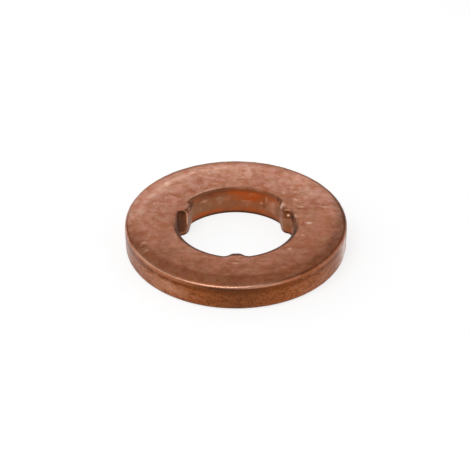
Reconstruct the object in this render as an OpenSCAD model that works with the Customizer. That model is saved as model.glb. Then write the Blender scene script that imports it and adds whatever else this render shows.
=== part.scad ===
// Injector seal ring: a flat copper washer stamped from strip. Three tabs in its bore
// hold it on the injector's nozzle shank while the injector is fitted.
// The origin is the centre of the bore on the lower face, and +Z is the ring's axis,
// towards the face that the punch drew down all round the rim.

/* [Ring] */
// Outside diameter
outer_d = 15; // [13:0.1:18]
// Thickness between the two flat faces
thickness = 2.1; // [1.8:0.05:3]
// Diameter of the bore between the tabs
bore_d = 8; // [7.7:0.1:8.6]

/* [Rim] */
// Width of the band where the upper face rolls down to the rim
roll_w = 1.2; // [0.8:0.1:1.8]
// How far the upper face has dropped at the rim
roll_drop = 0.16; // [0.08:0.01:0.25]
// Radius of the rim's upper edge
rim_top_r = 0.25; // [0.05:0.01:0.3]
// Height of the smooth sheared band below the rim's upper edge
shear_h = 0.6; // [0.4:0.05:0.9]
// How far the torn zone below the sheared band runs in towards the foot
break_taper = 0.07; // [0.02:0.01:0.12]
// Radius of the rim's lower edge
rim_foot_r = 0.28; // [0.1:0.01:0.4]

/* [Bore edges] */
// Radius of the bore's upper edge
bore_top_r = 0.14; // [0.05:0.01:0.25]
// Radius of the bore's lower edge
bore_foot_r = 0.08; // [0.05:0.01:0.2]

/* [Tabs] */
// Number of tabs
tab_count = 3; // [3:1:6]
// Direction of the first tab from the ring's centre
first_tab_angle = -90; // [-180:5:180]
// Diameter of the circle that the tips touch
grip_d = 7; // [6.6:0.1:7.1]
// Width of a tab across its tip
tip_w = 0.64; // [0.5:0.02:0.9]
// Angle between a flank and the tab's centre line
flank_splay = 42; // [20:1:50]
// Radius of the fillet where a flank runs into the bore
root_r = 0.2; // [0.1:0.01:0.25]
// Radius of the tip's corners, seen from above
tip_corner_r = 0.1; // [0.05:0.01:0.15]
// Radius of the tip's upper edge
nose_top_r = 0.28; // [0.1:0.01:0.35]
// Radius of the tip's lower edge
nose_foot_r = 0.08; // [0.05:0.01:0.15]

/* [Hidden] */

$fn = 180;
outer_r = outer_d / 2;
bore_r = bore_d / 2;
grip_r = grip_d / 2;
shear_z = thickness - roll_drop - shear_h;

// The roll is one arc that leaves the upper face without a corner
roll_r = (roll_w ^ 2 + roll_drop ^ 2) / (2 * roll_drop);
roll_at = [outer_r - roll_w, thickness - roll_r];

// How far a tab's root runs into the ring, and how far a cutter runs past what it cuts
root_depth = 0.5;
past = 0.2;

copper = [0.72, 0.45, 0.34];

function unit(angle) = [cos(angle), sin(angle)];

// How far it is from a point, in the direction along, to a circle round the axis
function run_to(radius, point, along) =
    sqrt((point * along) ^ 2 - point * point + radius ^ 2) - point * along;

// What lies outside a rounded corner whose arc has its centre at at. The arc runs
// between the two directions, which point straight out of the edges it joins.
module corner_waste(at, radius, from_angle, to_angle) {
    reach = radius + past;
    translate(at) difference() {
        polygon([
            [0, 0],
            reach * unit(from_angle),
            2 * reach * unit((from_angle + to_angle) / 2),
            reach * unit(to_angle)
        ]);
        circle(radius);
    }
}

// The band that the punch drew down, between the flat of the upper face and the rim
module roll_waste() {
    difference() {
        translate([roll_at[0], thickness - roll_drop])
            square([roll_w + past, roll_drop + past]);
        translate(roll_at) circle(roll_r);
    }
}

// Upper edge of the rim, which touches both the roll and the sheared band
module rim_top_waste() {
    edge_x = outer_r - rim_top_r;
    rise = sqrt((roll_r - rim_top_r) ^ 2 - (edge_x - roll_at[0]) ^ 2);
    corner_waste([edge_x, roll_at[1] + rise], rim_top_r, 0, atan2(rise, edge_x - roll_at[0]));
}

// Lower edge of the rim, which touches both the torn zone and the lower face
module rim_foot_waste() {
    lean = atan2(break_taper, shear_z);
    edge_x = outer_r - break_taper - rim_foot_r * (1 - sin(lean)) / cos(lean);
    corner_waste([edge_x, rim_foot_r], rim_foot_r, -90, -lean);
}

// Half of the ring cut through, with X away from the axis and Y up
module ring_section() {
    difference() {
        polygon([
            [bore_r, 0],
            [outer_r - break_taper, 0],
            [outer_r, shear_z],
            [outer_r, thickness],
            [bore_r, thickness]
        ]);
        roll_waste();
        rim_top_waste();
        rim_foot_waste();
        corner_waste([bore_r + bore_top_r, thickness - bore_top_r], bore_top_r, 90, 180);
        corner_waste([bore_r + bore_foot_r, bore_foot_r], bore_foot_r, 180, 270);
    }
}

// Fillet between a tab's flank, on its +Y side, and the bore
module root_fillet() {
    along = unit(flank_splay);
    away = unit(flank_splay + 90);
    start = [grip_r, tip_w / 2];
    flank_end = start + run_to(bore_r, start, along) * along;
    at = start + root_r * away + run_to(bore_r - root_r, start + root_r * away, along) * along;
    difference() {
        polygon([
            at,
            at - root_r * away,
            (bore_r + past) / bore_r * flank_end,
            (bore_r + past) / (bore_r - root_r) * at
        ]);
        translate(at) circle(root_r);
    }
}

// A tab seen from above, with its centre line along X and its tip towards the axis
module tab_plan() {
    root_x = bore_r + root_depth;
    root_half_w = tip_w / 2 + (root_x - grip_r) * tan(flank_splay);
    corner_y = tip_w / 2 - tip_corner_r * (1 - sin(flank_splay)) / cos(flank_splay);
    difference() {
        polygon([
            [grip_r, -tip_w / 2],
            [root_x, -root_half_w],
            [root_x, root_half_w],
            [grip_r, tip_w / 2]
        ]);
        for (side = [0, 1]) mirror([0, side])
            corner_waste([grip_r + tip_corner_r, corner_y], tip_corner_r, 90 + flank_splay, 180);
    }
    for (side = [0, 1]) mirror([0, side]) root_fillet();
}

// Rounds the upper and the lower edge of a tab's tip
module nose_waste() {
    width = tip_w + 4 * past;
    translate([0, width / 2, 0]) rotate([90, 0, 0]) linear_extrude(width) {
        corner_waste([grip_r + nose_top_r, thickness - nose_top_r], nose_top_r, 90, 180);
        corner_waste([grip_r + nose_foot_r, nose_foot_r], nose_foot_r, 180, 270);
    }
}

module tab() {
    difference() {
        linear_extrude(thickness) tab_plan();
        nose_waste();
    }
}

module seal_ring() {
    color(copper) union() {
        rotate_extrude() ring_section();
        for (i = [0 : tab_count - 1])
            rotate(first_tab_angle + i * 360 / tab_count) tab();
    }
}

seal_ring();
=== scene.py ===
# Looks of the injector seal ring: the stamped copper ring as one detailed mesh with its
# finish, on a pale floor under soft studio light. Lengths in the tables are millimetres,
# apart from the floor's.
import math

import bpy
import numpy as np
from mathutils import Matrix, Vector, noise


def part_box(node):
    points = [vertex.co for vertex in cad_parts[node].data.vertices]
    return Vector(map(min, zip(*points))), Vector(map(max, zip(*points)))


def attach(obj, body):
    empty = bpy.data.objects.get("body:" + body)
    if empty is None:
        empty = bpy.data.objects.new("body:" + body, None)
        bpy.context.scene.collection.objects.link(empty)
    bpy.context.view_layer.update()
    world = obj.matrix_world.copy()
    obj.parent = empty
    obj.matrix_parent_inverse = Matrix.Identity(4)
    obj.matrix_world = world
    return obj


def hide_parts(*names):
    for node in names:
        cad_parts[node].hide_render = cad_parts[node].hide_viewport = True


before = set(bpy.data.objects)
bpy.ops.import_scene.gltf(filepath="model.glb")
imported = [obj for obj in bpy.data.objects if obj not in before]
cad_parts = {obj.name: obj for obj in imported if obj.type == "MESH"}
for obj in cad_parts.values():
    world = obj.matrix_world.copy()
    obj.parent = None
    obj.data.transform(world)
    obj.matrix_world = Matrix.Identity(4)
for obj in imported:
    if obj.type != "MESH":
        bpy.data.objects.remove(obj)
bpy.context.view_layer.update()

MM = 0.001

# Driving sizes: the first two come from the frame, the rest are the part's own values
_, ring_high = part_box("seal_ring")
OUTER_R = ring_high.x / MM
THICKNESS = ring_high.z / MM
BORE_R = 4.0
ROLL_W = 1.2
ROLL_DROP = 0.16
RIM_TOP_R = 0.25
SHEAR_H = 0.6
BREAK_TAPER = 0.07
RIM_FOOT_R = 0.28
BORE_TOP_R = 0.14
BORE_FOOT_R = 0.08
GRIP_R = 3.5
ROOT_R = 0.2
NOSE_TOP_R = 0.28
NOSE_FOOT_R = 0.08

# As struck, the tabs differ a little from the true form. Each one's direction in degrees,
# then half its tip's width and the splay of its flank, both first on the anticlockwise side.
TABS = (
    (-89.5, (0.27, 0.25), (47, 50)),
    (29.7, (0.25, 0.34), (46, 32)),
    (153.5, (0.4, 0.41), (28, 32)),
)

# The corners of their tips are a little rounder than the part's, and a tab counts in full
# where it stands this far in front of the bore
TIP_CORNER_R = 0.14
FULL_TAB = 0.25

# The punch tore the lowest part of the bore and the tabs: below this height their outline is
# eased over a wider angle than above, both in degrees, and the tabs fall back by this much
TEAR_TOP = 0.8
CORNER_EASE = (1.0, 2.6)
TAB_FALL_BACK = 0.1

# The punch also drew the face down towards the bore: inside which radius, how much at the
# bore, and how far in the draw goes on growing over the tabs, where 1 is the bore
BORE_DRAW_R = 5.9
BORE_DRAW = 0.05
BORE_DRAW_END = 1.2

# It rolled the face down less on one side of the rim and more on another: direction and half
# width in degrees, and how much deeper
ROLL_CHANGES = ((-40, 40, -0.06), (-115, 36, 0.17))

# The bore's lip is rounder on the front side: its radius grows and shrinks by this much
LIP_LOPSIDED = 0.05

# Camera, fitted to the ring's outlines in the photograph, whose frame is 470 pixels wide
FRAME_PX = 470
RING_CENTRE_PX = (235.9, 233.9)
FOCAL_PX = 8885
CAMERA_DISTANCE = 600
CAMERA_ELEVATION = math.radians(34.85)
CAMERA_ROLL = math.radians(0.07)
SENSOR_MM = 36

# Counts of the ring's mesh: directions round it, and the rows of each stretch of its section.
# The directions are closer together at the tabs: their extra density there, and the angles
# from a tab's centre line between which it fades out, in degrees.
THETA_COUNT = 700
EXTRA_DENSITY = 3.2
DENSE_WITHIN = (12, 17)
ROWS = dict(lower=12, foot=8, torn=18, shear=10, rim=10, roll=14, upper=34, lip=9, wall=20, bore_foot=6)

# Steps that the tabs and the bore's edge are worked out in, how far the easing of that edge
# reaches, and the steps that the directions are placed with
CORNER_POINTS = 12
ROOT_POINTS = 16
STEPS_BETWEEN_POINTS = 8
STEPS_PER_DEGREE = 20
EASE_REACH_DEGREES = 10
DIRECTION_STEPS = 20000

# Stretches of the section that have a form or a finish in common, with each one's share of
# it, which is evened out over this many rows on either side
EVENED_ROWS = 2
BOTH_FACES = dict(roll=1, upper=1, lip=0.6, lower=1)
UPPER_FACE = dict(roll=1, upper=1, lip=1)
OUTER_WALL = dict(torn=1, shear=1, foot=1)
BORE_WALL = dict(wall=1, bore_foot=1)
BORE_AND_LIP = dict(wall=1, bore_foot=1, lip=1)
BORE_FINISH = dict(wall=1, lip=0.6, bore_foot=1)
SHEARED_FINISH = dict(torn=1, shear=1, foot=1, rim=0.3, wall=1, lip=0.6, bore_foot=1)
BORE_GRAIN = dict(wall=1, bore_foot=0.5, lip=0.3)

# Grain of the surface: on which stretches, how high it is, how wide its features are along
# X, Y and Z, and its seed
GRAIN = (
    (BOTH_FACES, 0.004, (1.3, 1.3, 1.3), 1),
    (BOTH_FACES, 0.003, (0.35, 0.35, 0.35), 2),
    (dict(rim=1, roll=0.3), 0.01, (0.5, 0.5, 0.5), 3),
    (dict(torn=1, foot=0.7), 0.01, (0.5, 0.5, 0.18), 4),
    (dict(shear=1, torn=0.5), 0.004, (1.4, 1.4, 0.09), 5),
    (BORE_GRAIN, 0.006, (0.5, 0.5, 0.2), 6),
)

# Upright tears of the tabs, in the same form, which fade out between these two angles from a
# tab's centre line, in degrees
TAB_TEARS = (BORE_GRAIN, 0.022, (0.22, 0.22, 0.8), 7)
TAB_TEARS_WITHIN = (9, 15)

# The whole surface stands back this far, so that its highest spots stay inside the true outline
CLEARANCE = 0.012

# Marks on the upper face, each placed by its pixel in the photograph: half its length and
# half its width, its direction from the photograph's level line in degrees, how deep it goes
# (below 0 for a raised lip), and its tone, which partly paints in the glints and the shade of
# the marks' lips and hollows. A tone is -1 for a dark stain or painted shade, 0 for plain
# metal, 1 for a burnished spot or painted highlight and 2 for bare copper or a painted glint.
FACE_MARKS = {
    "nick_upper_lip": ((143.7, 242.8), 0.14, 0.06, 10, -0.01, 1.2),
    "nick": ((143.3, 246.4), 0.13, 0.07, 10, 0.018, -0.4),
    "nick_left": ((141.3, 245.2), 0.06, 0.05, 0, 0.0, 0.5),
    "nick_lower_lip": ((146.4, 249.8), 0.14, 0.06, 20, -0.01, 1.2),
    "speck_back_left": ((166, 183), 0.14, 0.07, 30, 0.01, 0.6),
    "speck_left": ((149, 197), 0.16, 0.08, 40, 0.01, 0.5),
    "dash_front": ((236, 262.4), 0.24, 0.06, 0, 0.012, 0.8),
    "dash_front_right": ((265, 258.4), 0.32, 0.05, 3, 0.012, 0.5),
    "speck_right": ((309, 222), 0.13, 0.1, 0, 0.018, 1.6),
    "speck_right_inner": ((302.5, 234), 0.1, 0.07, 0, 0.012, 0.6),
    "speck_front_right": ((289.5, 248), 0.12, 0.08, 20, 0.012, 1.0),
    "speck_far_right": ((325, 206), 0.12, 0.09, 0, 0.012, 0.5),
    "dash_by_right_tab": ((283.6, 191.8), 0.2, 0.05, -60, 0.01, 0.5),
    "dash_right_tab_root": ((295.8, 198.6), 0.16, 0.06, -30, 0.01, 0.5),
    "pit_right_tab_root": ((299.2, 208.9), 0.08, 0.06, 0, 0.012, -0.5),
    "dash_right_tab_front": ((301.5, 205.9), 0.12, 0.06, 0, 0.01, 0.5),
    "smear_left_tab_root": ((191.8, 203), 0.25, 0.1, 70, 0.02, -0.7),
}

# Stains, painted highlights and painted shade on the upper face: direction and half width
# in degrees, radius and half width, and tone, broken up by speckle of this strength, size,
# seed and octaves
FACE_STAINS_AND_PAINTED_LIGHT = (
    (136, 20, 6.42, 0.2, 0.5),
    (108, 18, 6.5, 0.15, 0.25),
    (40, 12, 6.15, 0.35, 0.2),
    (120, 15, 4.2, 0.07, 0.6),
    (92, 16, 6.2, 0.5, 0.16),
    (-24, 16, 6.95, 0.24, -0.38),
    (8, 14, 7.1, 0.18, -0.4),
    (182, 12, 5.9, 0.8, 0.05),
    (219, 11, 6.0, 0.8, -0.13),
)
SPECKLE = (1.2, 0.4, 9, 3)

# Painted shade and painted reflections on the outer wall, and stains with painted light on the
# bore's wall: direction and half width in degrees, lowest and highest level, and tone. Each
# wall's patches fade in and out over a height of their own.
# the outer wall's are painted: shade at the front, reflections at the left front and the right
WALL_PAINTED_LIGHT = (
    (-89, 15, -0.2, 1.9, -0.48),
    (-128, 16, 0.2, 1.5, 0.2),
    (-14, 5, 0.1, 1.9, 0.28),
)
WALL_LIGHT_FADE = 0.4
# on the bore's wall: stains, painted highlights and glints on the tabs and the lip, and painted shade
# in the hollows beside the tabs and under the back lip
BORE_STAINS_AND_PAINTED_LIGHT = (
    (163, 4.5, 0.3, 2.3, -0.85),
    (158.8, 0.65, 0.9, 2.3, 1.3),
    (152, 3.0, 1.85, 2.3, 0.5),
    (160, 9.0, -0.3, 0.25, -0.5),
    (144.5, 1.2, 1.3, 1.9, 0.5),
    (138.6, 2.2, 1.35, 1.95, -0.9),
    (122, 4.0, 1.25, 1.6, 0.25),
    (87, 1.5, 0.9, 1.15, -0.35),
    (82, 4.0, 0.92, 1.12, 0.3),
    (64.5, 1.0, 0.95, 1.25, 0.45),
    (61.4, 0.9, 0.72, 1.02, -0.7),
    (59, 0.7, 1.2, 1.85, 0.35),
    (51.5, 3.0, 0.5, 1.5, 0.25),
    (44.5, 1.0, 1.75, 2.1, -0.9),
    (36.5, 1.2, 1.5, 1.95, -0.9),
    (33, 2.5, 1.85, 2.3, 1.6),
    (20.5, 3.5, 1.3, 1.95, -0.8),
    (21.7, 0.7, 1.48, 1.78, 2.4),
    (19, 6.0, 1.94, 2.3, 0.3),
    (10, 2.0, 1.94, 2.3, 0.9),
    (17, 2.0, 0.3, 1.2, 0.35),
    (90, 42, 1.75, 2.1, -0.4),
    (116, 12, 1.45, 2.05, -0.4),
)
BORE_TONE_FADE = 0.1

# Painted shade along the foot of both walls, where the ring meets the floor and stands in its
# shadow: on which stretches, the heights where they start and stop fading, and tone
FOOT_SHADE_BANDS = (
    (dict(foot=1, torn=0.5), 0.0, 0.25, -0.8),
    (BORE_WALL, 0.14, 0.26, -1.0),
    (BORE_WALL, 0.4, 0.8, -0.1),
)

# Blotches of tone: on which stretches, how strong, how wide along X, Y and Z, their seed and
# octaves. The outer wall is lighter by a tone of its own as well.
BLOTCHES = (
    (OUTER_WALL, 0.1, (1.6, 1.6, 0.11), 8, 2),
    (OUTER_WALL, 0.16, (0.7, 0.7, 0.3), 10, 2),
    (dict(wall=1), 0.16, (0.5, 0.5, 0.5), 11, 3),
)
OUTER_WALL_TONE = 0.01

# A painted highlight lies along the rim's upper edge at the front, weaker to the right, and a
# line of painted shade under that edge. A FRONT or RIGHT value is a span of minus the sine or
# of the cosine of the direction, a Z value is a span of heights, and the line's AT and TOWARDS
# values give the middle and the half width of its height and of its direction.
RIM_HIGHLIGHT_TONE = 0.85
RIM_HIGHLIGHT_Z = (1.75, 1.82)
RIM_HIGHLIGHT_FRONT = (0.2, 0.7)
RIM_HIGHLIGHT_RIGHT = (0.15, 0.6)
RIM_HIGHLIGHT_RIGHT_LOSS = 1.15
SHADE_LINE_TONE = -1.4
SHADE_LINE_AT = (1.68, 0.06)
SHADE_LINE_TOWARDS = (-93, 17)

# At the back, turned this far to the right, the rim carries painted shade that stands for a
# dark reflection: a span of radii, and a span of the sine of the direction
BACK_RIM_SHADE_TONE = -0.75
BACK_RIM_SHADE_R = (7.1, 7.4)
BACK_RIM_SHADE_BACK = (0.1, 0.6)
BACK_RIM_SHADE_TURN = math.radians(25)

# The bore's edge carries painted shade at the front, where its lip turns away: how wide, how
# much wider for each millimetre that a tab stands in front of the bore, and how softly the
# shade ends
BORE_EDGE_SHADE_TONE = -0.95
EDGE_W = 0.18
EDGE_W_ON_TAB = 0.4
EDGE_FADE = 0.16
EDGE_FRONT = (-0.15, 0.3)

# Orange of the bore's wall: a patch in one direction that is fainter low down, a band under
# the lip, and a band along the foot with a stronger stretch. The noise over all of it has this
# strength, size and seed.
GLOW_PATCH = (77, 16)
GLOW_PATCH_LOW = 0.4
GLOW_PATCH_Z = (0.8, 1.3)
GLOW_LIP = 0.5
GLOW_LIP_Z = (1.5, 1.75)
GLOW_FOOT = 0.4
GLOW_FOOT_Z = (0.3, 0.7)
GLOW_FOOT_MORE = 0.5
GLOW_FOOT_TOWARDS = (124, 16)
GLOW_NOISE = (0.3, 0.6, 12)

# Bright film on the faces: its weight, and how much of it is lost towards the front right,
# over a span along that direction, where the rim carries painted shade at the back, and on
# dark stains and painted shade. On the outer wall there is film in two directions: direction
# and half width in degrees, and weight.
FILM = 0.91
FILM_LOSS = 0.25
FILM_THINS_TOWARDS = (0.38, -0.92)
FILM_THINS_OVER = (-4.5, 6.5)
FILM_BACK_RIM_LOSS = 0.8
FILM_DARK_TONE_LOSS = 0.9
WALL_FILM = ((-12.5, 6.5, 0.95), (187, 7, 0.4))

# The noise that grain and tones come from: how it moves with its seed, how fast its octaves
# weaken, and how much finer each octave is
SEED_SHIFT = np.array([13.7, 7.3, 3.1])
NOISE_WEAKENS = 0.7
NOISE_FINER = 2.1

# Linear colours of the finish
FACE_COPPER = (0.62, 0.172, 0.051, 1)
FACE_TARNISH = (0.52, 0.132, 0.037, 1)
GOLDEN_TARNISH = (0.56, 0.18, 0.055, 1)
# the outer wall's coppers are darker than the face's: partly its sheared and torn finish, partly
# painted shade for the dark surroundings that the wall reflects
SHEARED_COPPER = (0.2, 0.052, 0.01, 1)
TORN_COPPER = (0.335, 0.101, 0.031, 1)
# burnished copper, bare copper and dark oxide come in by tone, and they also make the painted
# highlights, glints and shade
BURNISHED_AND_HIGHLIGHT = (0.88, 0.47, 0.31, 1)
BARE_COPPER_AND_GLINT = (1.0, 0.76, 0.63, 1)
DARK_COPPER = (0.27, 0.075, 0.026, 1)
DARK_SHEAR = (0.13, 0.034, 0.008, 1)
DARK_OXIDE_AND_SHADE = (0.085, 0.03, 0.014, 1)
ORANGE_OXIDE = (0.41, 0.073, 0.011, 1)
BORE_COPPER = (0.26, 0.112, 0.055, 1)

# The floor, in metres: a disc, how far its edge then curves outwards and up, how white it
# looks near the ring and further out, and the distances between which that changes
FLOOR_R = 0.66
FLOOR_EDGE_OUT = 0.1
FLOOR_EDGE_UP = 0.15
FLOOR_EDGE_STEPS = 12
FLOOR_SIDES = 96
FLOOR_PAINT = (0.42, 0.42, 0.42, 1)
FLOOR_WHITE = (0.765, 0.97)
FLOOR_WHITE_SPAN = (0.03, 0.2)

# Each lamp's direction from the ring in degrees, where azimuth 0 is behind it and 90 to its
# right, then its elevation, distance, size, and how bright its face looks, where 1 is white
SOFTBOXES = {
    "back_low": (-4, 27, 32, (31, 10), 0.9),
    "back_high": (0, 38, 45, (40, 9), 0.42),
    "back_left": (-78, 28, 120, (90, 60), 0.65),
    "back_right": (78, 28, 120, (90, 60), 0.4),
    "front_left": (-130, 30, 120, (90, 60), 0.65),
    "front_right": (130, 30, 120, (90, 60), 0.72),
    "overhead": (-149, 62.5, 120, (94, 48), 2.6),
    "back_left_high": (-35, 42, 60, (40, 22), 0.1),
    "back_right_high": (22, 50, 60, (22, 12), 0.09),
    "back_top": (-5, 66, 120, (120, 60), 0.25),
    "front_left_high": (-145, 62, 140, (70, 40), 0.3),
}
WORLD_STRENGTH = 0.17


def smooth(value, low, high):
    """0 below low, 1 above high, and a smooth step between them."""
    t = np.clip((value - low) / (high - low), 0, 1)
    return t * t * (3 - 2 * t)


def hump(value, centre, half_width):
    """1 at the centre and a half at half_width from it, falling smoothly towards 0."""
    return np.exp(-((value - centre) / half_width) ** 2 * math.log(2))


def arc(centre, radius, start, end, count):
    """Points on an arc, from one angle in radians to the other."""
    angles = np.linspace(start, end, count)
    return np.stack([centre[0] + radius * np.cos(angles), centre[1] + radius * np.sin(angles)], -1)


def tab_side(half_w, splay):
    """Polar angle and radius along one side of a tab, from its centre line to the plain bore."""
    splay = math.radians(splay)
    along = np.array([math.cos(splay), math.sin(splay)])
    away = np.array([-along[1], along[0]])
    corner_at = (GRIP_R + TIP_CORNER_R, half_w - TIP_CORNER_R * (1 - along[1]) / along[0])
    corner = arc(corner_at, TIP_CORNER_R, math.pi, math.pi / 2 + splay, CORNER_POINTS)
    offset = np.array([GRIP_R, half_w]) + ROOT_R * away
    run = math.sqrt((offset @ along) ** 2 - offset @ offset + (BORE_R - ROOT_R) ** 2) - offset @ along
    root_at = offset + run * along
    root = arc(root_at, ROOT_R, splay - math.pi / 2, math.atan2(root_at[1], root_at[0]), ROOT_POINTS)
    points = np.concatenate([[[GRIP_R, 0.0]], corner, root])
    # a straight stretch needs points of its own, because it isn't straight in polar form
    steps = STEPS_BETWEEN_POINTS + 1
    between = [np.linspace(a, b, steps)[:-1] for a, b in zip(points, points[1:])]
    x, y = np.concatenate(between + [points[-1:]]).T
    return np.arctan2(y, x), np.hypot(x, y)


def turned(theta, angle):
    """Angle from a direction in degrees to each of theta, from -pi to pi."""
    return (theta - math.radians(angle) + math.pi) % (2 * math.pi) - math.pi


def bore_edge(theta, ease):
    """Radius of the bore at each direction, tabs included, eased over an angle in degrees."""
    fine = np.linspace(0, 2 * math.pi, 360 * STEPS_PER_DEGREE + 1)[:-1]
    edge = np.full_like(fine, BORE_R)
    for angle, half_widths, splays in TABS:
        offset = turned(fine, angle)
        for sign, half_w, splay in zip((1, -1), half_widths, splays):
            side_angle, side_radius = tab_side(half_w, splay)
            side = np.interp(sign * offset, side_angle, side_radius, left=BORE_R, right=BORE_R)
            edge = np.where(sign * offset >= 0, np.minimum(edge, side), edge)
    reach = EASE_REACH_DEGREES * STEPS_PER_DEGREE
    weights = np.exp(-0.5 * (np.arange(-reach, reach + 1) / (ease * STEPS_PER_DEGREE)) ** 2)
    closed = np.concatenate([edge[-reach:], edge, edge[:reach]])
    eased = np.convolve(closed, weights / weights.sum(), "valid")
    return np.interp(theta, fine, eased, period=2 * math.pi)


def near_tab(theta, span):
    """1 at a tab's centre line, falling to 0 between two angles from it in degrees."""
    off = np.min([np.abs(turned(theta, angle)) for angle, _, _ in TABS], axis=0)
    return 1 - smooth(off, math.radians(span[0]), math.radians(span[1]))


def directions():
    """Directions round the ring, closer together at the tabs than elsewhere."""
    fine = np.linspace(0, 2 * math.pi, DIRECTION_STEPS + 1)
    density = 1 + EXTRA_DENSITY * near_tab(fine, DENSE_WITHIN)
    reached = np.concatenate([[0], np.cumsum((density[1:] + density[:-1]) / 2)])
    return np.interp(np.linspace(0, reached[-1], THETA_COUNT + 1)[:-1], reached, fine)


def section_rows(theta):
    """The stretch that each row of the ring's section is on, its radius and height at each
    direction, and the bore's radius. The rows run round the section once, starting at the
    bore's foot."""
    bore = bore_edge(theta, CORNER_EASE[0])
    on_tab = smooth(BORE_R - bore, 0.0, FULL_TAB)
    torn_bore = bore_edge(theta, CORNER_EASE[1]) + TAB_FALL_BACK * on_tab
    lip_r = BORE_TOP_R - LIP_LOPSIDED * np.sin(theta)
    lip_r += (NOSE_TOP_R - lip_r) * on_tab
    foot_r = BORE_FOOT_R + (NOSE_FOOT_R - BORE_FOOT_R) * on_tab
    drop = ROLL_DROP * np.ones_like(theta)
    for angle, half_angle, deeper in ROLL_CHANGES:
        drop += deeper * hump(turned(theta, angle), 0, math.radians(half_angle))
    roll_r = (ROLL_W ** 2 + drop ** 2) / (2 * drop)
    roll_x = OUTER_R - ROLL_W
    roll_z = THICKNESS - roll_r
    shear_z = THICKNESS - ROLL_DROP - SHEAR_H
    lean = math.atan2(BREAK_TAPER, shear_z)
    foot_x = OUTER_R - BREAK_TAPER - RIM_FOOT_R * (1 - math.sin(lean)) / math.cos(lean)
    foot_top = (foot_x + RIM_FOOT_R * math.cos(lean), RIM_FOOT_R * (1 - math.sin(lean)))
    rim_x = OUTER_R - RIM_TOP_R
    rim_rise = np.sqrt((roll_r - RIM_TOP_R) ** 2 - (rim_x - roll_x) ** 2)
    rim_low = roll_z + rim_rise
    roll_end = np.arctan2(rim_rise, rim_x - roll_x)
    one = np.ones_like(theta)
    rows = []

    def stretch(name, point):
        for i in range(ROWS[name]):
            radius, height = point(i / ROWS[name])
            rows.append((name, radius * one, height * one))

    def line(name, start, end):
        stretch(name, lambda s: [a + s * (b - a) for a, b in zip(start, end)])

    def bend(name, centre, radius, start, end):
        def point(s):
            angle = start + s * (end - start)
            return centre[0] + radius * np.cos(angle), centre[1] + radius * np.sin(angle)

        stretch(name, point)

    def wall(s):
        height = THICKNESS - lip_r + s * (foot_r - THICKNESS + lip_r)
        return bore + (torn_bore - bore) * smooth(TEAR_TOP - height, 0, TEAR_TOP), height

    line("lower", (torn_bore + foot_r, 0), (foot_x, 0))
    bend("foot", (foot_x, RIM_FOOT_R), RIM_FOOT_R, -math.pi / 2, -lean)
    line("torn", foot_top, (OUTER_R, shear_z))
    line("shear", (OUTER_R, shear_z), (OUTER_R, rim_low))
    bend("rim", (rim_x, rim_low), RIM_TOP_R, 0, roll_end)
    bend("roll", (roll_x, roll_z), roll_r, roll_end, math.pi / 2)
    line("upper", (roll_x, THICKNESS), (bore + lip_r, THICKNESS))
    bend("lip", (bore + lip_r, THICKNESS - lip_r), lip_r, math.pi / 2, math.pi)
    stretch("wall", wall)
    bend("bore_foot", (torn_bore + foot_r, foot_r), foot_r, math.pi, 1.5 * math.pi)
    names, radius, height = (np.array(column) for column in zip(*rows))
    return names, radius, height, bore


class Surface:
    """The ring's surface as a grid of points, with a row for each place round its section and
    a column for each direction from its axis."""

    def __init__(self):
        self.theta = directions()
        self.names, self.radius, self.height, self.bore = section_rows(self.theta)
        self.right = np.cos(self.theta)
        self.front = -np.sin(self.theta)
        self.points = np.stack([self.radius * self.right, -self.radius * self.front, self.height], -1)

    def on(self, weights):
        """One weight for each row, by the stretch that it is on, evened out over its neighbours."""
        weight = np.array([weights.get(name, 0.0) for name in self.names])
        rolled = [np.roll(weight, k) for k in range(-EVENED_ROWS, EVENED_ROWS + 1)]
        return np.mean(rolled, axis=0)[:, None]

    def towards(self, angle, half_angle):
        """1 in one direction and a half at half_angle from it, both in degrees."""
        return hump(turned(self.theta, angle), 0, math.radians(half_angle))

    def noise(self, scale, seed, octaves=2):
        """Smooth noise from about -1 to 1 at each point, with features scale millimetres across."""
        flat = (self.points / np.array(scale) + seed * SEED_SHIFT).reshape(-1, 3)
        values = [noise.fractal(p, NOISE_WEAKENS, NOISE_FINER, octaves) for p in flat.tolist()]
        return np.array(values).reshape(self.points.shape[:-1])

    def normals(self):
        """Outward normals of the closed grid of points, by central differences."""
        round_section = np.roll(self.points, -1, 0) - np.roll(self.points, 1, 0)
        round_axis = np.roll(self.points, -1, 1) - np.roll(self.points, 1, 1)
        normals = np.cross(round_axis, round_section)
        return normals / np.linalg.norm(normals, axis=-1, keepdims=True)


def on_face(pixel):
    """Where the camera's ray through a pixel of the photograph meets the upper face."""
    across = (pixel[0] - RING_CENTRE_PX[0]) / FOCAL_PX
    rise = (RING_CENTRE_PX[1] - pixel[1]) / FOCAL_PX
    sin_e, cos_e = math.sin(CAMERA_ELEVATION), math.cos(CAMERA_ELEVATION)
    ray = np.array([across, cos_e + rise * sin_e, -sin_e + rise * cos_e])
    start = np.array([0, -CAMERA_DISTANCE * cos_e, CAMERA_DISTANCE * sin_e - THICKNESS / 2])
    return (start - start[2] / ray[2] * ray)[:2]


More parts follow.
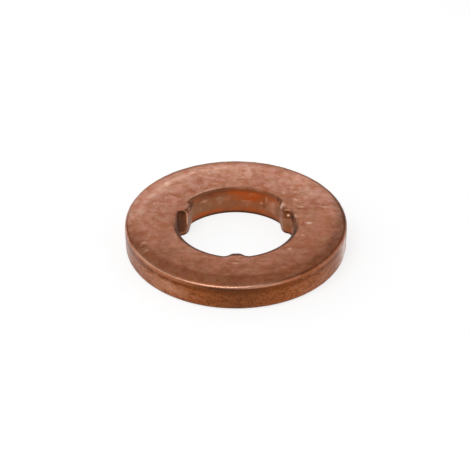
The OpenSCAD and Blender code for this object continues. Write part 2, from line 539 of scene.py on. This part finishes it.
def face_marks(surface):
    """Depth and tone of the marks on the upper face."""
    depth = np.zeros(surface.points.shape[:2])
    tone = np.zeros(surface.points.shape[:2])
    face = surface.on(UPPER_FACE)
    for pixel, half_length, half_width, angle, deep, shade in FACE_MARKS.values():
        x, y = np.moveaxis(surface.points[..., :2] - on_face(pixel), -1, 0)
        turn = math.radians(angle)
        # the photograph shows the face's depth shortened, so its angles are stretched to match
        lie = math.atan2(math.sin(turn) / math.sin(CAMERA_ELEVATION), math.cos(turn))
        along = x * math.cos(lie) + y * math.sin(lie)
        aside = y * math.cos(lie) - x * math.sin(lie)
        shape = hump(np.hypot(along / half_length, aside / half_width), 0, 1) * face
        depth += deep * shape
        tone += shade * shape
    return depth, tone


def shape_surface(surface, depth):
    """Moves the points by the marks' depth, the grain and the tears, and draws the face down
    towards the bore."""
    relief = -depth
    for weights, size, scale, seed in GRAIN:
        relief += surface.on(weights) * size * surface.noise(scale, seed)
    weights, size, scale, seed = TAB_TEARS
    torn = surface.on(weights) * near_tab(surface.theta, TAB_TEARS_WITHIN)
    relief += torn * size * surface.noise(scale, seed)
    relief -= CLEARANCE
    points = surface.points + relief[..., None] * surface.normals()
    way_in = np.clip((BORE_DRAW_R - surface.radius) / (BORE_DRAW_R - BORE_R), 0, BORE_DRAW_END)
    # the fourth power keeps the draw near the upper face
    points[..., 2] -= BORE_DRAW * way_in ** 2 * (surface.height / THICKNESS) ** 4
    points[..., 2] = np.clip(points[..., 2], 0, THICKNESS)
    surface.points = points


def stain_and_light_tone(surface):
    """Tone of the stains and painted light, the painted shade along the foot, and the blotches."""
    size, scale, seed, octaves = SPECKLE
    speckle = np.clip(1 + size * surface.noise(scale, seed, octaves), 0, 2)
    tone = OUTER_WALL_TONE * surface.on(OUTER_WALL)
    for angle, half_angle, middle, half_width, shade in FACE_STAINS_AND_PAINTED_LIGHT:
        patch = surface.towards(angle, half_angle) * hump(surface.radius, middle, half_width)
        tone = tone + surface.on(UPPER_FACE) * shade * patch * speckle
    for patch_table, weights, fade in (
        (WALL_PAINTED_LIGHT, OUTER_WALL, WALL_LIGHT_FADE),
        (BORE_STAINS_AND_PAINTED_LIGHT, BORE_AND_LIP, BORE_TONE_FADE),
    ):
        for angle, half_angle, low, high, shade in patch_table:
            level = smooth(surface.height, low, low + fade)
            level = level * (1 - smooth(surface.height, high - fade, high))
            tone += surface.on(weights) * shade * level * surface.towards(angle, half_angle)
    # painted shade along the foot
    for weights, low, high, shade in FOOT_SHADE_BANDS:
        tone += surface.on(weights) * shade * (1 - smooth(surface.height, low, high))
    for weights, size, scale, seed, octaves in BLOTCHES:
        tone += surface.on(weights) * size * surface.noise(scale, seed, octaves)
    return tone


def back_rim_shade(surface):
    """How much painted shade the rim carries at the back, from 0 to 1."""
    back = smooth(np.sin(surface.theta + BACK_RIM_SHADE_TURN), *BACK_RIM_SHADE_BACK)
    return smooth(surface.radius, *BACK_RIM_SHADE_R) * back


def edge_tone(surface):
    """Tone of the painted highlight and shade on the rim and of the painted shade on the bore's edge.
    """
    # painted highlight along the rim's upper edge at the front, weaker to the right
    highlit = smooth(surface.front, *RIM_HIGHLIGHT_FRONT)
    highlit = highlit * (1 - RIM_HIGHLIGHT_RIGHT_LOSS * smooth(surface.right, *RIM_HIGHLIGHT_RIGHT))
    rim_highlight = surface.on(dict(rim=1)) * smooth(surface.height, *RIM_HIGHLIGHT_Z) * highlit
    # a line of painted shade under that edge
    line = hump(surface.height, *SHADE_LINE_AT) * surface.towards(*SHADE_LINE_TOWARDS)
    line = surface.on(dict(shear=1, rim=1)) * line
    # painted shade on the rim at the back
    back_shade = surface.on(dict(rim=1, roll=1)) * back_rim_shade(surface)
    # painted shade along the bore's edge at the front, wider on the tabs
    off_edge = surface.radius - surface.bore
    reach = EDGE_W + EDGE_W_ON_TAB * np.maximum(BORE_R - surface.bore, 0)
    at_edge = (1 - smooth(off_edge, reach, reach + EDGE_FADE)) * smooth(surface.front, *EDGE_FRONT)
    edge_shade = surface.on(dict(lip=1, upper=1)) * at_edge
    return RIM_HIGHLIGHT_TONE * rim_highlight + SHADE_LINE_TONE * line + BACK_RIM_SHADE_TONE * back_shade + BORE_EDGE_SHADE_TONE * edge_shade


def bore_glow(surface):
    """How orange the bore's wall is, from 0 to 1."""
    patch_high = smooth(surface.height, *GLOW_PATCH_Z)
    patch = surface.towards(*GLOW_PATCH) * (GLOW_PATCH_LOW + (1 - GLOW_PATCH_LOW) * patch_high)
    lip = GLOW_LIP * smooth(surface.height, *GLOW_LIP_Z)
    foot = GLOW_FOOT + GLOW_FOOT_MORE * surface.towards(*GLOW_FOOT_TOWARDS)
    foot = foot * (1 - smooth(surface.height, *GLOW_FOOT_Z))
    size, scale, seed = GLOW_NOISE
    glow = patch + lip + foot + size * surface.noise(scale, seed)
    return surface.on(BORE_WALL) * np.clip(glow, 0, 1)


def film_weight(surface, tone):
    """Weight of the bright film: less on stains and painted shade, more on two sides of the wall."""
    along = surface.points[..., :2] @ np.array(FILM_THINS_TOWARDS)
    film = FILM - FILM_LOSS * smooth(along, *FILM_THINS_OVER)
    film = film * (1 - surface.on(SHEARED_FINISH)) * (1 - FILM_BACK_RIM_LOSS * back_rim_shade(surface))
    sides = sum(weight * surface.towards(angle, half_angle) for angle, half_angle, weight in WALL_FILM)
    return (film + surface.on(OUTER_WALL) * sides) * (1 - FILM_DARK_TONE_LOSS * np.clip(-tone, 0, 1))


def smooth_mesh(name, points, faces):
    mesh = bpy.data.meshes.new(name)
    mesh.from_pydata(points, [], faces)
    mesh.polygons.foreach_set("use_smooth", np.ones(len(mesh.polygons), bool))
    return mesh


def ring_mesh():
    """The ring's mesh, with the masks of its finish and painted light as attributes of its points."""
    surface = Surface()
    depth, marks_tone = face_marks(surface)
    shape_surface(surface, depth)
    tone = np.clip(marks_tone + stain_and_light_tone(surface) + edge_tone(surface), -1, 2)
    masks = {
        "sheared": surface.on(SHEARED_FINISH),
        "torn": surface.on(dict(torn=1, foot=1)),
        "bore": surface.on(BORE_FINISH),
        "tone": tone,
        "glow": bore_glow(surface),
        "film": film_weight(surface, tone),
    }
    rows, columns = surface.points.shape[:2]
    index = np.arange(rows * columns).reshape(rows, columns)
    below = np.roll(index, -1, 0)
    quads = np.stack([index, np.roll(index, -1, 1), np.roll(below, -1, 1), below], -1).reshape(-1, 4)
    points = (surface.points * MM).reshape(-1, 3)
    mesh = smooth_mesh("seal_ring_copper", points.tolist(), quads.tolist())
    for name, values in masks.items():
        layer = mesh.attributes.new(name, "FLOAT", "POINT")
        values = np.broadcast_to(values, (rows, columns)).ravel()
        layer.data.foreach_set("value", values.astype(np.float32))
    mesh.update()
    return mesh


class Nodes:
    """Short calls for building a node material."""

    def __init__(self, material):
        material.use_nodes = True
        self.tree = material.node_tree
        self.tree.nodes.clear()

    def add(self, kind, inputs=None, **settings):
        node = self.tree.nodes.new(kind)
        for name, value in settings.items():
            setattr(node, name, value)
        for name, value in (inputs or {}).items():
            self.feed(node.inputs[name], value)
        return node

    def feed(self, socket, value):
        if isinstance(value, bpy.types.NodeSocket):
            self.tree.links.new(value, socket)
        else:
            socket.default_value = value

    def noise(self, vector, scale, detail, roughness, distortion=0.0):
        return self.add("ShaderNodeTexNoise", {
            "Vector": vector,
            "Scale": scale,
            "Detail": detail,
            "Roughness": roughness,
            "Distortion": distortion,
        }).outputs["Fac"]

    def span(self, value, low, high, to_low=0.0, to_high=1.0):
        """to_low below low, to_high above high, and a smooth step between them."""
        return self.add("ShaderNodeMapRange", {
            "Value": value,
            "From Min": low,
            "From Max": high,
            "To Min": to_low,
            "To Max": to_high,
        }, interpolation_type="SMOOTHSTEP").outputs["Result"]

    def mix(self, factor, first, second):
        node = self.add("ShaderNodeMix", data_type="RGBA", clamp_factor=True)
        # the sockets of a colour mix: its factor and its two colours, and then its result
        for place, value in ((0, factor), (6, first), (7, second)):
            self.feed(node.inputs[place], value)
        return node.outputs[2]

    def math(self, operation, first, second):
        return self.add("ShaderNodeMath", {0: first, 1: second}, operation=operation).outputs[0]

    def attribute(self, name):
        node = self.add("ShaderNodeAttribute", attribute_name=name, attribute_type="GEOMETRY")
        return node.outputs["Fac"]


def copper_colour(n, in_mm, mottle):
    """Base colour: each stretch's copper, its mottling and specks, then its tone, painted light
    included.
    """
    tone = n.attribute("tone")
    sheared = n.attribute("sheared")
    bore = n.attribute("bore")
    blotches = n.noise(in_mm, scale=0.8, detail=4.0, roughness=0.6, distortion=0.3)
    patches = n.noise(in_mm, scale=1.3, detail=3.0, roughness=0.6, distortion=0.4)
    specks = n.noise(in_mm, scale=6.0, detail=3.0, roughness=0.7)
    face = n.mix(n.span(blotches, 0.35, 0.65), FACE_TARNISH, FACE_COPPER)
    face = n.mix(n.span(patches, 0.45, 0.62), face, GOLDEN_TARNISH)
    outer_wall = n.mix(n.attribute("torn"), SHEARED_COPPER, TORN_COPPER)
    bore_wall = n.mix(n.attribute("glow"), BORE_COPPER, ORANGE_OXIDE)
    colour = n.mix(sheared, face, n.mix(bore, outer_wall, bore_wall))
    colour = n.mix(n.span(mottle, 0.35, 0.65, to_high=0.37), colour, DARK_COPPER)
    on_wall = n.math("SUBTRACT", sheared, bore)
    wall_specks = n.math("MULTIPLY", on_wall, n.span(specks, 0.45, 0.65, to_high=0.8))
    colour = n.mix(wall_specks, colour, DARK_SHEAR)
    # a positive tone brings in burnish and painted highlights, a tone over 1 bare copper and painted
    # glints, and a negative tone dark oxide and painted shade
    colour = n.mix(n.math("MAXIMUM", tone, 0.0), colour, BURNISHED_AND_HIGHLIGHT)
    colour = n.mix(n.math("SUBTRACT", tone, 1.0), colour, BARE_COPPER_AND_GLINT)
    dark = n.math("MAXIMUM", n.math("MULTIPLY", tone, -1.0), 0.0)
    return n.mix(dark, colour, DARK_OXIDE_AND_SHADE)


def copper_material():
    material = bpy.data.materials.new("tarnished_copper")
    n = Nodes(material)
    place = n.add("ShaderNodeTexCoord").outputs["Object"]
    in_mm = n.add("ShaderNodeVectorMath", {0: place, "Scale": 1 / MM}, operation="SCALE").outputs[0]
    mottle = n.noise(in_mm, scale=1.8, detail=5.0, roughness=0.68, distortion=0.4)
    grain = n.noise(in_mm, scale=11.0, detail=3.0, roughness=0.6)
    bump = n.add("ShaderNodeBump", {"Strength": 0.3, "Distance": 0.012 * MM, "Height": grain})
    mottled_film = n.span(mottle, 0.32, 0.66, to_low=1.16, to_high=0.26)
    shader = n.add("ShaderNodeBsdfPrincipled", {
        "Base Color": copper_colour(n, in_mm, mottle),
        "Metallic": 1.0,
        "Roughness": n.span(grain, 0.3, 0.7, to_low=0.32, to_high=0.42),
        "Normal": bump.outputs["Normal"],
        "Coat Weight": n.math("MULTIPLY", n.attribute("film"), mottled_film),
        "Coat IOR": 1.9,
        "Coat Roughness": 0.16,
    })
    n.add("ShaderNodeOutputMaterial", {"Surface": shader.outputs["BSDF"]})
    return material


def add_object(name, data):
    thing = bpy.data.objects.new(name, data)
    bpy.context.scene.collection.objects.link(thing)
    return thing


def make_ring():
    ring = add_object("seal_ring_copper", ring_mesh())
    ring.data.materials.append(copper_material())
    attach(ring, "root")
    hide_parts("seal_ring")


def floor_material():
    material = bpy.data.materials.new("pale_floor")
    n = Nodes(material)
    paths = n.add("ShaderNodeLightPath").outputs
    seen = n.math("MAXIMUM", paths["Is Camera Ray"], paths["Is Glossy Ray"])
    seen = n.math("MAXIMUM", seen, paths["Is Transmission Ray"])
    # the lamps light only the floor's middle, so its own glow makes up for them further out
    place = n.add("ShaderNodeTexCoord").outputs["Object"]
    away = n.add("ShaderNodeVectorMath", {0: place}, operation="LENGTH").outputs["Value"]
    white = n.span(away, *FLOOR_WHITE_SPAN, *FLOOR_WHITE)
    paint = n.add("ShaderNodeBsdfDiffuse", {"Color": FLOOR_PAINT})
    strength = n.math("MULTIPLY", seen, white)
    glow = n.add("ShaderNodeEmission", {"Color": (1, 1, 1, 1), "Strength": strength})
    both = n.add("ShaderNodeAddShader", {0: paint.outputs[0], 1: glow.outputs[0]})
    n.add("ShaderNodeOutputMaterial", {"Surface": both.outputs[0]})
    return material


def make_floor():
    """A wide disc whose edge curves up all round."""
    profile = [
        (FLOOR_R + FLOOR_EDGE_OUT * math.sin(a), FLOOR_EDGE_UP * (1 - math.cos(a)))
        for a in np.linspace(0, math.pi / 2, FLOOR_EDGE_STEPS + 1)
    ]
    turns = np.arange(FLOOR_SIDES) * 2 * math.pi / FLOOR_SIDES
    points = [(r * math.cos(t), r * math.sin(t), z) for r, z in profile for t in turns]
    faces = [tuple(range(FLOOR_SIDES))]
    for inner in range(0, FLOOR_EDGE_STEPS * FLOOR_SIDES, FLOOR_SIDES):
        outer = inner + FLOOR_SIDES
        for i in range(FLOOR_SIDES):
            beside = (i + 1) % FLOOR_SIDES
            faces.append((inner + i, outer + i, outer + beside, inner + beside))
    floor = add_object("floor", smooth_mesh("floor", points, faces))
    floor.data.materials.append(floor_material())


def aim_at_ring(thing, roll=0.0):
    """Turns a lamp or the camera to look at the ring's middle."""
    direction = Vector((0, 0, THICKNESS * MM / 2)) - thing.location
    turn = direction.to_track_quat("-Z", "Y").to_matrix() @ Matrix.Rotation(roll, 3, "Z")
    thing.rotation_euler = turn.to_euler()


def softbox(name, azimuth, elevation, distance, size, radiance):
    lamp = bpy.data.lights.new(name, "AREA")
    lamp.shape = "RECTANGLE"
    lamp.size = size[0] * MM
    lamp.size_y = size[1] * MM
    lamp.energy = radiance * lamp.size * lamp.size_y * math.pi
    thing = add_object(name, lamp)
    azimuth, elevation = math.radians(azimuth), math.radians(elevation)
    flat, up = distance * math.cos(elevation), distance * math.sin(elevation)
    thing.location = Vector((flat * math.sin(azimuth), flat * math.cos(azimuth), up)) * MM
    thing.visible_camera = False
    aim_at_ring(thing)


def make_light():
    world = bpy.data.worlds.new("studio")
    bpy.context.scene.world = world
    world.use_nodes = True
    background = world.node_tree.nodes["Background"].inputs
    background["Color"].default_value = (1, 1, 1, 1)
    background["Strength"].default_value = WORLD_STRENGTH
    for name, settings in SOFTBOXES.items():
        softbox(name, *settings)


def make_camera():
    lens = bpy.data.cameras.new("photo_camera")
    lens.sensor_width = SENSOR_MM
    lens.lens = FOCAL_PX / FRAME_PX * SENSOR_MM
    lens.shift_x = (FRAME_PX / 2 - RING_CENTRE_PX[0]) / FRAME_PX
    lens.shift_y = (RING_CENTRE_PX[1] - FRAME_PX / 2) / FRAME_PX
    lens.clip_start = 10 * MM
    camera = add_object("photo_camera", lens)
    back = CAMERA_DISTANCE * math.cos(CAMERA_ELEVATION)
    up = CAMERA_DISTANCE * math.sin(CAMERA_ELEVATION)
    camera.location = Vector((0, -back, THICKNESS / 2 + up)) * MM
    aim_at_ring(camera, CAMERA_ROLL)
    bpy.context.scene.camera = camera


make_camera()
make_ring()
make_floor()
make_light()
bpy.context.scene.view_settings.view_transform = "Standard"
